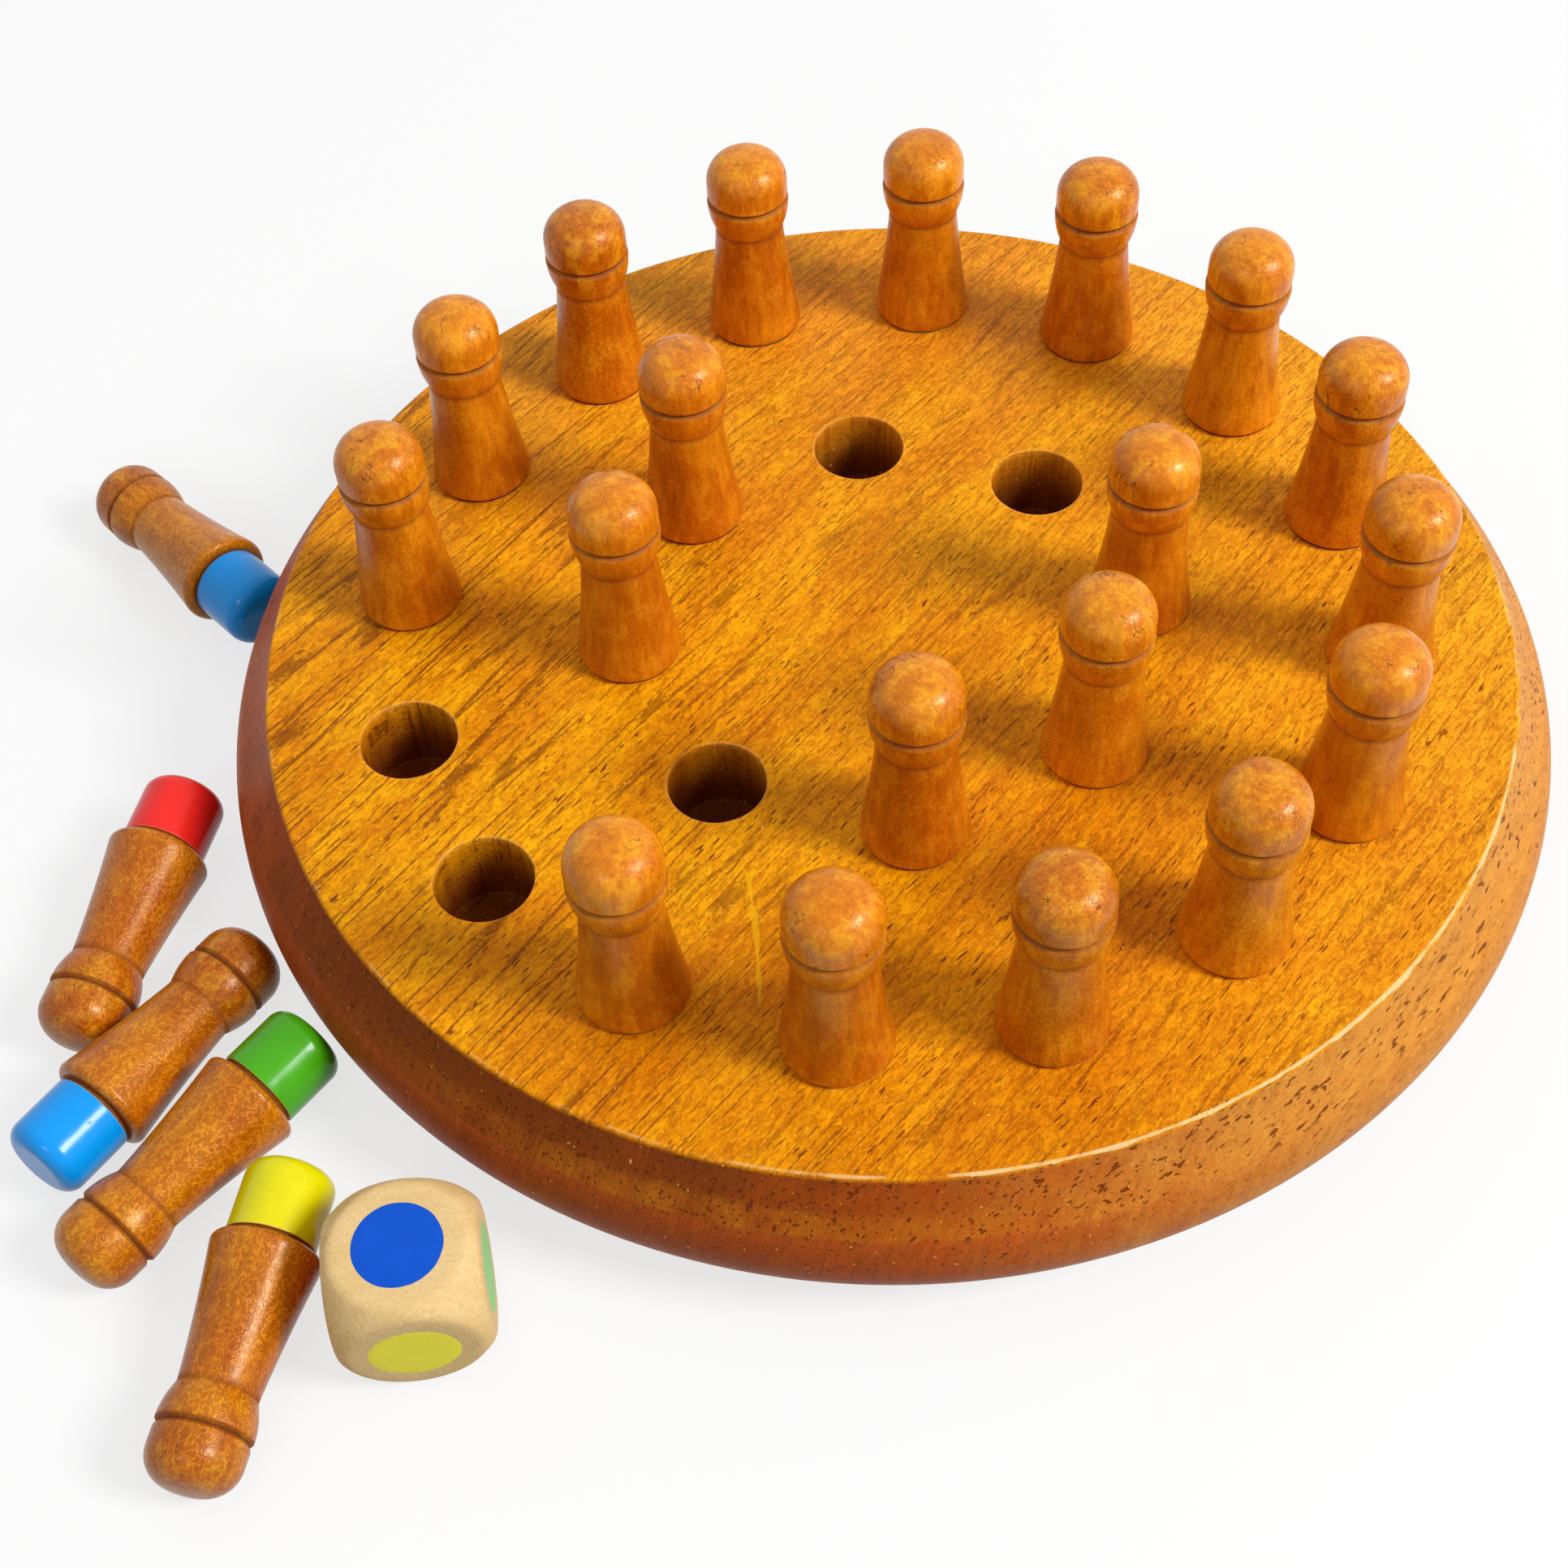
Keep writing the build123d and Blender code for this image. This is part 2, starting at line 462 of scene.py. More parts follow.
def board_surface():
    """The whole board: drilled cells in two rings, the disc in the middle, and the side and underside."""
    rng = np.random.default_rng(seed)
    flat_radius = board_radius - bevel_width
    top_radius = flat_radius - rim_round - guard_width
    parts = []
    steps = cell_arc_steps
    rings = (
        (outer_count, outer_ring_radius, between_rings, top_radius, steps, steps),
        (inner_count, inner_ring_radius, centre_disc_radius, between_rings, 2 * steps, steps),
    )
    for count, radius, inner, outer, outer_steps, inner_steps in rings:
        span = 360 / count
        for place in range(count):
            first = first_cell_edge + span * place
            middle = math.radians(first + span / 2)
            centre = radius * np.array((math.cos(middle), math.sin(middle)))
            border = cell_border(inner, outer, first, first + span, outer_steps, inner_steps)
            parts.append(drilled_cell(centre, border, rng))
    disc = line((centre_disc_radius, board_top), (0, board_top), disc_rows)
    parts.append(turned_about_board(disc, inner_count * steps))
    parts.append(turned_about_board(side_outline(top_radius, flat_radius), outer_count * steps))
    starts = np.cumsum([0] + [len(points) for points, _, _ in parts[:-1]])
    points = np.vstack([points for points, _, _ in parts])
    quads = np.vstack([quads + start for (_, quads, _), start in zip(parts, starts)])
    return points, quads, np.concatenate([edge for _, _, edge in parts])


def turned_about_board(rows, columns):
    """Rows carried round the board's axis from the edge of a cell. No mouth of a hole lies on them."""
    points, quads = revolved(rows, columns)
    turn = np.array(Matrix.Rotation(math.radians(first_cell_edge), 3, "Z"))
    return points @ turn.T, quads, np.zeros(len(points))


def side_outline(top_radius, flat_radius):
    """The board's outline from the middle of its underside to the edge of its top.

    A bevel above and below, hollowed by a parabola, runs into a round nose at half height. Each flat face
    ends in a small round.
    """
    middle = board_top / 2
    nose_centre = board_radius - nose_radius
    rise = flat_radius - nose_centre
    slope = math.degrees(math.atan2(middle, rise) - math.acos(nose_radius / math.hypot(middle, rise)))
    nose = arc((nose_centre, middle), nose_radius, -slope, slope, nose_rows)
    lower_corner = np.array((flat_radius, 0))
    upper_corner = np.array((flat_radius, board_top))
    along_bevel = nose[-1] - upper_corner
    along_bevel /= np.hypot(*along_bevel)
    # A corner is rounded by a curve from the bevel to the flat face, which the corner pulls outwards
    share = np.linspace(0, 1, corner_rows)[:, None]
    flat_end = upper_corner - np.array((rim_round, 0))
    bevel_end = upper_corner + along_bevel * rim_round
    upper = (1 - share) ** 2 * bevel_end + 2 * share * (1 - share) * upper_corner + share**2 * flat_end
    mirror = np.array((1, -1))
    lower = ((upper - upper_corner) * mirror + lower_corner)[::-1]
    underside = np.column_stack((np.array(underside_rings) * mm, np.zeros(len(underside_rings))))
    upper_bevel = line(nose[-1], upper[0], bevel_rows)[1:-1]
    share = np.linspace(0, 1, bevel_rows)[1:-1, None]
    outward = np.array((-along_bevel[1], along_bevel[0]))
    upper_bevel -= outward * bevel_hollow * 4 * share * (1 - share)
    lower_bevel = (upper_bevel[::-1] - upper_corner) * mirror + lower_corner
    low_half = (underside, (top_radius, 0), lower, lower_bevel)
    high_half = (upper_bevel, upper, (top_radius, board_top))
    return np.vstack((*low_half, nose, *high_half))


# Pegs


def peg_outline(end_radius, end_height):
    """The peg's half outline, from the middle of its lower end up to its head. Its shoulder is at height 0.

    Straight lines and arcs: the rounded end, the relief groove, the rounded shoulder, a body whose straight
    taper is hollowed by a parabola, the collar as an arc that is upright at its top, the cut groove, and a
    dome of two arcs.
    """
    corner = tip_round - (tip_radius - end_radius)
    shoulder_centre = shoulder_radius - shoulder_round
    collar_top = body_height + collar_height
    head_base = collar_top + groove_width
    dome_base = head_base + head_side_height
    top = dome_base + dome_height
    share = np.linspace(0, 1, taper_rows)
    straight = shoulder_radius + (neck_radius - shoulder_radius) * share
    taper = straight - 4 * body_hollow * share * (1 - share)
    body = np.column_stack((taper, shoulder_round + (body_height - shoulder_round) * share))
    swell = collar_radius - neck_radius
    collar_bend = (swell**2 + collar_height**2) / (2 * swell)
    collar_sweep = math.degrees(math.asin(collar_height / collar_bend))
    crown_drop = crown_radius - dome_height
    dome_corner = (crown_radius**2 - crown_drop**2 - head_radius**2) / (2 * (crown_radius - head_radius))
    dome_centre = head_radius - dome_corner
    meeting = math.degrees(math.atan2(crown_drop, dome_centre))
    return np.vstack(
        (
            line((0, end_height), (end_radius - corner, end_height)),
            arc((end_radius - corner, end_height + corner), corner, -90, 0),
            (end_radius, -relief_width),
            (tip_radius - relief_depth, -relief_width),
            (tip_radius - relief_depth, 0),
            (shoulder_centre, 0),
            arc((shoulder_centre, shoulder_round), shoulder_round, -90, 0),
            body,
            arc((collar_radius - collar_bend, collar_top), collar_bend, -collar_sweep, 0),
            (head_radius - groove_depth, groove_middle),
            (head_radius, head_base),
            (head_radius, dome_base),
            arc((dome_centre, dome_base), dome_corner, 0, meeting),
            arc((0, top - crown_radius), crown_radius, meeting, 90),
        )
    )


def stained(heights, hollow):
    """How much painted shade darkens each row: in hollows, in the cut groove and in the crease of the neck.

    The groove and the neck are bell curves over height, and the largest of the three counts.
    """
    groove = groove_shade * np.exp(-(((heights - groove_middle) / groove_spread) ** 2))
    neck = neck_shade * np.exp(-(((heights - body_height) / neck_spread) ** 2))
    return np.maximum(hollow, np.maximum(groove, neck))


def paint_outline():
    """The film on a peg's end: over the end, up to a rounded lip at the dip line, and back inside."""
    lip = paint_thickness / 2
    dip = -relief_width - lip
    inside = tip_radius - paint_thickness
    base = -tip_length
    outer = arc((tip_radius - tip_round, base + tip_round), tip_round, -90, 0)
    inner = arc((tip_radius - tip_round, base + tip_round), tip_round - paint_thickness, 0, -90)
    return np.vstack(
        (
            line((0, base), outer[0]),
            outer,
            arc((tip_radius - lip, dip), lip, 0, 180, lip_rows),
            (inside, base + tip_round),
            inner,
            (0, base + paint_thickness),
        )
    )


def standing(node):
    """The place of a peg upright in its hole, with its shoulder's centre as origin."""
    low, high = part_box(node)
    return Matrix.Translation(((low.x + high.x) / 2, (low.y + high.y) / 2, low.z + tip_length))


def lying(node, heading, points):
    """The place of a peg on the table: its painted end points along the heading and its head leans down."""
    lean = Matrix.Rotation(math.radians(-90 - lying_lean), 4, "Y")
    turn = Matrix.Rotation(math.radians(heading), 4, "Z") @ lean
    turned = points @ np.array(turn.to_3x3()).T
    low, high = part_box(node)
    middle = (np.array(low) + np.array(high)) / 2 - (turned.min(axis=0) + turned.max(axis=0)) / 2
    return Matrix.Translation(middle.tolist()) @ turn


def carried(points, place):
    """Points moved to a place."""
    return points @ np.array(place.to_3x3()).T + np.array(place.translation)


def make_peg(node, heading, colour, number, wood, paint):
    """One peg and the film of paint on its end. Each peg is cut from its own spot in the wood pattern."""
    rng = np.random.default_rng(seed + number)
    outline = peg_outline(tip_radius - paint_bite, -tip_length + paint_bite)
    rows, hollow = worn_rows(outline, edge_wear, peg_row_turn)
    points, quads = revolved(rows, peg_columns)
    film_rows, _ = worn_rows(paint_outline(), film_wear, film_row_turn)
    film_points, film_quads = revolved(film_rows, peg_columns)
    place = standing(node) if heading is None else lying(node, heading, np.vstack((points, film_points)))

    spot = rng.uniform(0, 1, 3)
    fair = rng.uniform(0, 1)
    figure = rng.uniform(*(seated_figure if heading is None else loose_figure))
    layers = {
        "wood_place": points + spot,
        # The hollow layer carries the painted shade of grooves, creases and hollows
        "hollow": np.repeat(stained(rows[:, 1], hollow), peg_columns),
        "fair": np.full(len(points), fair),
        "figure": np.full(len(points), figure),
        "rise": points[:, 2] / (groove_middle + head_side_height + dome_height),
    }
    peg = make_piece(node + "_wood", carried(points, place), quads, wood, layers)
    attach(peg, node)
    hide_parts(node)

    angle = np.arctan2(film_points[:, 1], film_points[:, 0])
    up = (film_points[:, 2] + tip_length) / tip_length
    dipped = film_points.copy()
    dipped[:, 2] += dip_waviness * (wave(angle, rng) - 1) * up**4
    film_layers = {"paint_place": film_points + spot, "up": up}
    film = make_piece(node + "_paint", carried(dipped, place), film_quads, paint[colour], film_layers)
    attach(film, node)
    colour + "_paint"


# Die


def die_place():
    """The middle of the die and the way that it is turned."""
    low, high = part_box("colour_die")
    return Matrix.Translation((low + high) / 2) @ Matrix.Rotation(math.radians(die_heading), 4, "Z")


def die_surface(across):
    """A cube's faces and a ball's surface in one.

    In each direction of a grid over the six sides, the distance from the middle is a soft smallest one of
    the distances to the three pairs of flat faces and to the ball, as a negative power mean.
    """
    share = np.tan(np.linspace(-math.pi / 4, math.pi / 4, across))
    first, second = np.meshgrid(share, share, indexing="ij")
    face = np.stack((np.ones_like(first), first, second), axis=-1).reshape(-1, 3)
    row = np.arange(across - 1)[:, None] * across
    column = np.arange(across - 1)
    corners = (row + column, row + across + column, row + across + column + 1, row + column + 1)
    face_quads = np.stack(corners, axis=-1).reshape(-1, 4)
    points, quads = [], []
    for axis in range(3):
        turned = np.roll(face, axis, axis=1)
        for side in (1, -1):
            quads.append((face_quads if side == 1 else face_quads[:, ::-1]) + len(face) * len(points))
            points.append(turned * np.where(np.arange(3) == axis, side, 1))
    way = np.vstack(points)
    way /= np.linalg.norm(way, axis=1)[:, None]
    half = die_side / 2
    nearness = ((np.abs(way) / half) ** die_sharpness).sum(axis=1) + (1 / die_ball_radius) ** die_sharpness
    return way * nearness[:, None] ** (-1 / die_sharpness), np.vstack(quads)


def dot_surface(rng):
    """A round spot of paint on the XY plane: nearly flat, with a rounded uneven edge, and a flat back."""
    angle = np.linspace(0, 2 * math.pi, dot_columns, endpoint=False)
    uneven = 1 + dot_unevenness * wave(angle, rng, 3, 14)
    share = np.array(dot_front_shares)[:, None]
    back = np.array(dot_back_shares)[:, None]
    rise = dot_rise * np.sqrt(1 - share**10)
    shares = np.vstack((back, share[::-1]))
    heights = np.vstack((np.full_like(back, -dot_bite), rise[::-1]))
    radius = dot_radius * shares * uneven
    grid = np.stack((radius * np.cos(angle), radius * np.sin(angle), heights + 0 * angle), axis=-1)
    return grid.reshape(-1, 3), ring_quads(len(shares), dot_columns)


def make_die(wood):
    """The die and its six spots, one on each side."""
    place = die_place()
    points, quads = die_surface(die_rows)
    inset = (die_side / 2 - dot_rise) / (die_side / 2)
    die = make_piece("colour_die_wood", carried(points * inset, place), quads, wood, {"wood_place": points})
    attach(die, "colour_die")
    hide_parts("colour_die")
    for number, (colour, side) in enumerate(die_colours.items()):
        spot, spot_quads = dot_surface(np.random.default_rng(seed + number))
        turn = Vector((0, 0, 1)).rotation_difference(Vector(side)).to_matrix().to_4x4()
        lift = Matrix.Translation((0, 0, die_side / 2 - dot_rise))
        name = "colour_die_" + colour + "_dot"
        finish = dot_paint(colour, dot_tints[colour])
        stuck = carried(spot, place @ turn @ lift)
        dot = make_piece(name, stuck, spot_quads, finish, {"paint_place": spot})
        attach(dot, "colour_die")


# Shaders


class Signal:
    """The output of a shader node. Arithmetic on it adds Math nodes."""

    def __init__(self, shader, socket):
        self.shader = shader
        self.socket = socket

    def math(self, operation, *values):
        """A Math node on these values and links, in order."""
        return self.shader.node("ShaderNodeMath", {"operation": operation}, dict(enumerate(values)))

    def __add__(self, other):
        return self.math("ADD", self, other)

    def __radd__(self, other):
        return self.math("ADD", other, self)

    def __sub__(self, other):
        return self.math("SUBTRACT", self, other)

    def __rsub__(self, other):
        return self.math("SUBTRACT", other, self)

    def __mul__(self, other):
        return self.math("MULTIPLY", self, other)

    def __rmul__(self, other):
        return self.math("MULTIPLY", other, self)

    def __truediv__(self, other):
        return self.math("DIVIDE", self, other)

    def __rtruediv__(self, other):
        return self.math("DIVIDE", other, self)

    def __pow__(self, other):
        return self.math("POWER", self, other)

    def __rpow__(self, other):
        return self.math("POWER", other, self)

    def __abs__(self):
        return self.math("ABSOLUTE", self)

    def larger(self, other):
        """The larger of two numbers."""
        return self.math("MAXIMUM", self, other)


class Tree:
    """A node tree with its output, and the one method that makes its nodes."""

    def __init__(self, tree, output):
        self.nodes = tree.nodes
        self.links = tree.links
        self.nodes.clear()
        self.output = self.nodes.new(output)

    def node(self, kind, settings=None, inputs=None, output=0):
        """A node of this kind: its settings first, then a number, a colour or a link for each socket."""
        node = self.nodes.new(kind)
        for setting, value in (settings or {}).items():
            setattr(node, setting, value)
        for socket, value in (inputs or {}).items():
            self.feed(node.inputs[socket], value)
        return Signal(self, node.outputs[output])

    def feed(self, socket, value):
        """A link or a plain value for one socket."""
        if isinstance(value, Signal):
            self.links.new(value.socket, socket)
        else:
            socket.default_value = value

    def separated(self, place):
        """The three numbers of a place."""
        return [self.node("ShaderNodeSeparateXYZ", {}, {0: place}, output) for output in "XYZ"]

    def combined(self, x, y, z):
        """A place of three numbers."""
        return self.node("ShaderNodeCombineXYZ", {}, {0: x, 1: y, 2: z})

    def seen_directly(self):
        """1 for a ray from the camera, off gloss or through glass, and 0 for all other light."""
        kinds = ("Is Camera Ray", "Is Glossy Ray", "Is Transmission Ray")
        camera, glossy, glass = [self.node("ShaderNodeLightPath", output=kind) for kind in kinds]
        return camera.larger(glossy).larger(glass)


class Shader(Tree):
    """A material: patterns as numbers, colours mixed by them, and the surface that they feed."""

    def __init__(self, name, **constants):
        self.material = bpy.data.materials.new(name)
        self.material.use_nodes = True
        super().__init__(self.material.node_tree, "ShaderNodeOutputMaterial")
        self.surface = self.nodes.new("ShaderNodeBsdfPrincipled")
        for constant, value in constants.items():
            socket = constant.replace("_", " ").title().replace("Ior", "IOR")
            self.surface.inputs[socket].default_value = value
        self.links.new(self.surface.outputs["BSDF"], self.output.inputs["Surface"])

    def object_place(self):
        """Where a point lies in the object's own metres."""
        return self.node("ShaderNodeTexCoord", output="Object")

    def layer(self, name, output="Fac"):
        """A number that the mesh carries at each point, or a place if the output is its vector."""
        return self.node("ShaderNodeAttribute", {"attribute_name": name}, output=output)

    def pattern(self, kind, settings, place, scales, inputs, output=0):
        """A texture on a place. Its size along each direction is about one over the scale, in metres."""
        stretched = self.node("ShaderNodeVectorMath", {"operation": "MULTIPLY"}, {0: place, 1: scales})
        return self.node(kind, settings, {"Vector": stretched, "Scale": 1, **inputs}, output)

    def noise(self, place, scales, detail=2.0, roughness=0.5):
        """Soft clouds around 0.5, seldom below 0.2 or above 0.8."""
        fineness = {"Detail": detail, "Roughness": roughness}
        return self.pattern("ShaderNodeTexNoise", {}, place, scales, fineness)

    def flakes(self, place, scales):
        """Uneven cells on a plane, each with its own number from 0 to 1."""
        cells = {"voronoi_dimensions": "2D", "feature": "F1"}
        return self.separated(self.pattern("ShaderNodeTexVoronoi", cells, place, scales, {}, "Color"))[0]

    def seams(self, place, scales):
        """The distance to the border between such cells, where one cell is about 1 across."""
        cells = {"voronoi_dimensions": "2D", "feature": "DISTANCE_TO_EDGE"}
        return self.pattern("ShaderNodeTexVoronoi", cells, place, scales, {}, "Distance")

    def fade(self, value, low, high):
        """0 up to low, 1 from high, and smooth between them. Low may be the higher one."""
        ends = {"Value": value, "From Min": low, "From Max": high}
        return self.node("ShaderNodeMapRange", {"interpolation_type": "SMOOTHSTEP"}, ends)

    def mix(self, share, first, second):
        """Two colours, with this share of the second."""
        return self.node("ShaderNodeMix", {"data_type": "RGBA"}, {0: share, 6: first, 7: second}, 2)

    def multiplied(self, colour, tint):
        """A colour multiplied by a tint."""
        blend = {"data_type": "RGBA", "blend_type": "MULTIPLY"}
        return self.node("ShaderNodeMix", blend, {0: 1, 6: colour, 7: tint}, 2)

    def shaded(self, colour, brightness):
        """A colour made brighter or darker by a number."""
        return self.multiplied(colour, self.combined(brightness, brightness, brightness))

    def toned(self, colour, share, dark, bright):
        """A colour multiplied by something between a dark and a bright tint. A share of 0.5 is halfway."""
        return self.multiplied(colour, self.mix(self.fade(share, 0, 1), dark, bright))

    def finish(self, colour, roughness, height=None, depth=0):
        """Feeds the surface. Height between 0 and 1 is a relief this deep."""
        self.feed(self.surface.inputs["Base Color"], colour)
        self.feed(self.surface.inputs["Roughness"], roughness)
        if height is not None:
            bump = self.node("ShaderNodeBump", {}, {"Strength": 1, "Distance": depth, "Height": height})
            self.feed(self.surface.inputs["Normal"], bump)
        return self.material


def towards(x, y, radius, angle):
    """Which side of the board a place is on: 1 at this angle from the X axis, and -1 opposite."""
    return (x * math.cos(math.radians(angle)) + y * math.sin(math.radians(angle))) / radius


def board_wood(edge_radius):
    """Varnished amber board with fine chips, broken dark lines along the grain, and wear.

    Its side is stained, and its rim is worn pale in places. Painted light makes the top paler towards the
    back and the side paler on one half and in a band, painted shade darkens the holes with depth, and some
    pale specks are painted glints.
    """
    wood = Shader("board_wood", specular_ior_level=0.16, specular_tint=(1, 0.85, 0.5, 1))
    place = wood.object_place()
    x, y, height = wood.separated(place)
    radius = (x * x + y * y) ** 0.5
    turn = (0, 0, math.radians(-grain_angle))
    turned = wood.node("ShaderNodeMapping", {}, {"Vector": place, "Rotation": turn})
    along, straight_across, _ = wood.separated(turned)
    across = straight_across + (wood.noise(place, (11, 11, 11), 1) - 0.5) * (7 * mm)
    grain = wood.combined(along, across, height)

    # Amber with yellower and browner clouds along the grain, paler towards the back as painted light where
    # the lamps' light falls off, paler towards the right and deeper in front
    tone = wood.noise(grain, (36, 110, 110), 4, 0.6)
    colour = wood.mix(wood.fade(tone, 0.34, 0.66), amber, light_amber)
    drift = wood.noise(place, (13, 13, 13), 2)
    colour = wood.mix(wood.fade(drift, 0.52, 0.7) * 0.3, colour, brown_amber)
    # Painted light: paler towards the back, where the lamps' light falls off
    colour = wood.mix(wood.fade(y, -10 * mm, 80 * mm) * 0.5, colour, lit_back_amber)
    golden = wood.fade(wood.noise(grain, (90, 260, 260), 2, 0.55), 0.56, 0.7)
    colour = wood.mix(golden * 0.36, colour, golden_amber)
    colour = wood.mix(wood.fade(y, -30 * mm, -80 * mm) * 0.3, colour, front_amber)
    colour = wood.mix(wood.fade(x, 10 * mm, 85 * mm) * 0.4, colour, right_amber)

    # The side is stained redder, deepest where the fibres are cut across, and the half that faces the key
    # lamp is painted paler as painted light
    side = wood.fade(height, board_top - 0.1 * mm, board_top - 0.7 * mm)
    side = side * wood.fade(radius, edge_radius - 1.4 * mm, edge_radius - 0.4 * mm)
    facing = towards(x, y, radius, lit_side_angle)
    end_grain = (along / radius) ** 2
    clouds = wood.noise(grain, (150, 150, 150), 3, 0.6)
    # Painted light: the half of the side that faces the key lamp is paler
    pale = wood.fade(facing + (clouds - 0.5) * 0.7, 0.12, 0.85)
    side_colour = wood.mix(pale, side_stain, lit_side_stain)
    deep = wood.fade(end_grain + (clouds - 0.5) * 0.8, 0.35, 0.95) * (1 - pale * 0.6)
    side_colour = wood.mix(deep * 0.75, side_colour, deep_stain)
    nose = wood.fade(height, nose_line + 0.3 * mm, nose_line - 0.3 * mm)
    side_colour = wood.mix(nose * 0.55 * (1 - pale * 0.7), side_colour, nose_stain)
    # Painted light: a golden band just above the nose, where the hollowed bevel faces up towards the lamps
    band = wood.fade(height, nose_line - 0.2 * mm, nose_line + 0.4 * mm)
    band = band * wood.fade(height, band_top + 1.4 * mm, band_top)
    band = band * wood.fade(clouds, 0.3, 0.68) * wood.fade(facing, -0.75, -0.1) * (1 - pale * 0.7)
    side_colour = wood.mix(band * 0.5, side_colour, lit_band_amber)
    colour = wood.mix(side, colour, side_colour)

    # Inside a hole the colour is darker with depth: painted shade in the recess
    depth = wood.fade(height, board_top + 3 * mm, board_top - 9 * mm)
    depth = depth * (1 - wood.fade(radius, holes_end, holes_end + 1 * mm))
    depth = depth * wood.fade(height, board_top - 0.1 * mm, board_top - 0.5 * mm)
    colour = wood.mix(depth * 0.92, colour, hole_shade_brown)

    # Fibres and curled chips, with more bite on the top than on the side
    fibres = wood.noise(grain, (180, 1500, 1500), 4, 0.6)
    chips = wood.noise(grain, (2000, 3100, 3100), 2, 0.6)
    curl = (wood.noise(grain, (500, 1100, 1100), 2, 0.5) - 0.5) * (1.1 * mm)
    leaf = wood.flakes(wood.combined(along + curl, across + curl, 0), (750, 2300, 0))
    mottle = (fibres - 0.5) * 0.3 + (chips - 0.5) * 1.2 + (leaf - 0.5) * 0.42
    mottle = 0.5 + mottle * (1 - side * 0.6)
    colour = wood.toned(colour, mottle, chip_shadow, chip_light)

    # Dark lines are the borders of long thin cells, broken up. Between them are dashes, and on the side pits
    breaks = wood.fade(wood.noise(grain, (60, 420, 420), 2), 0.42, 0.56)
    borders = wood.seams(wood.combined(along, across, 0), (20, 560, 0)) + (chips - 0.5) * 0.12
    lines = wood.fade(borders, 0.09, 0.02) * breaks * (1 - side * 0.6)
    lines = lines * (0.38 + wood.fade(x, 0, -60 * mm) * 0.3)
    groups = wood.fade(wood.noise(grain, (50, 120, 120), 2), 0.42, 0.6)
    dashes = wood.fade(wood.noise(grain, (420, 2300, 2300), 1, 0.4), 0.66, 0.71) * (groups * 0.5 + 0.5)
    dashes = dashes * (1 - wood.fade(y, 0, 70 * mm) * 0.5)
    pits = wood.fade(wood.noise(grain, (420, 1500, 1500), 1, 0.4), 0.655, 0.69) * side * (1 - nose * 0.7)
    pores = lines.larger(dashes * 0.85).larger(pits * 0.85)
    colour = wood.mix(pores, colour, pore_brown)

    # Pale specks that are partly painted glints, a worn edge on the rim and at each hole, and one old
    # scratch
    specks = wood.fade(wood.noise(place, (1700, 1700, 1700), 1, 0.4), 0.755, 0.775)
    colour = wood.mix(specks * 0.6, colour, speck_and_glint_yellow)
    worn = wood.fade(towards(x, y, radius, rim_wear_angle), 0.4, 0.98)
    ragged = wood.noise(place, (130, 130, 130), 3, 0.6)
    rim_width = (0.04 * mm) + wood.fade(ragged, 0.42, 0.75) * worn * (0.36 * mm)
    rim = wood.fade(radius, edge_radius - 0.4 * mm, edge_radius - 0.25 * mm)
    rim = rim * wood.fade(radius - edge_radius - rim_width, 0, -0.12 * mm)
    rim = rim * wood.fade(height, board_top / 2, board_top - 4 * mm)
    strength = worn * 0.9 + 0.3 * wood.fade(ragged, 0.5, 0.6)
    colour = wood.mix(rim * strength * wood.fade(ragged, 0.4, 0.48), colour, worn_rim)
    mouth = wood.layer("mouth") * wood.fade(ragged, 0.3, 0.6)
    colour = wood.mix(mouth * 0.4, colour, worn_mouth)
    scratch_width = (0.3 * mm) + (wood.noise(place, (260, 260, 260), 2) - 0.5) * (0.9 * mm)
    off_line = abs(x - scratch_x - (y - scratch_y) * (y - scratch_y) * scratch_bend)
    scratch = wood.fade(off_line - scratch_width, 0.06 * mm, -0.06 * mm)
    scratch = scratch * wood.fade(abs(y - scratch_y), scratch_half, scratch_half * 0.8) * (1 - side)
    scratch = scratch * wood.fade(height, board_top - 0.2 * mm, board_top - 0.1 * mm)
    colour = wood.mix(scratch * 0.65, colour, scratch_yellow)

    relief = fibres * 0.3 + chips * 0.5 + leaf * 0.2 - pores * 0.5
    return wood.finish(colour, 0.46 + (chips - 0.5) * 0.4, relief, 0.16 * mm)


